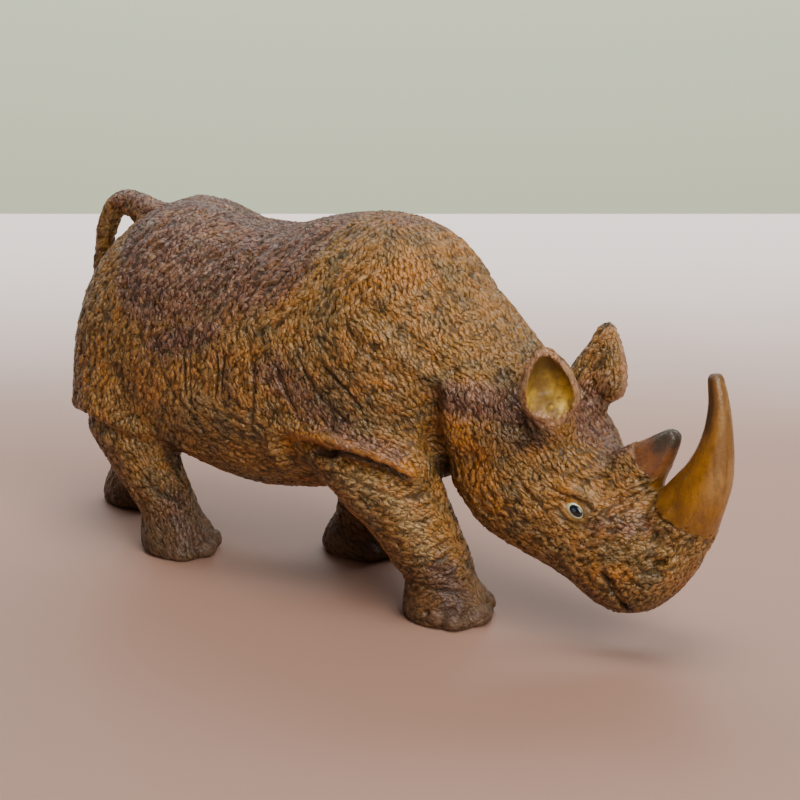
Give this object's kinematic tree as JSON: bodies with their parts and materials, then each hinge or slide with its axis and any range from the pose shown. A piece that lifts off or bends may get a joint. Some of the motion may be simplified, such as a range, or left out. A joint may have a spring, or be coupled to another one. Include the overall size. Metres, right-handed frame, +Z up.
{
  "type": "rhinoceros figurine",
  "caption": "Carved wooden rhinoceros walking with its head low, textured all over, with curved smooth horns, cupped ears and a looped tail.",
  "frame": {"origin": "centre of the bounding box on the plane of the soles", "axes": "+X towards the nose, +Y towards the animal's left side, +Z up"},
  "size_m": [0.247, 0.0746, 0.1199],
  "materials": {
    "carved_wood": "satin"
  },
  "bodies": {
    "root": {"rhinoceros": "carved_wood"}
  },
  "joints": []
}
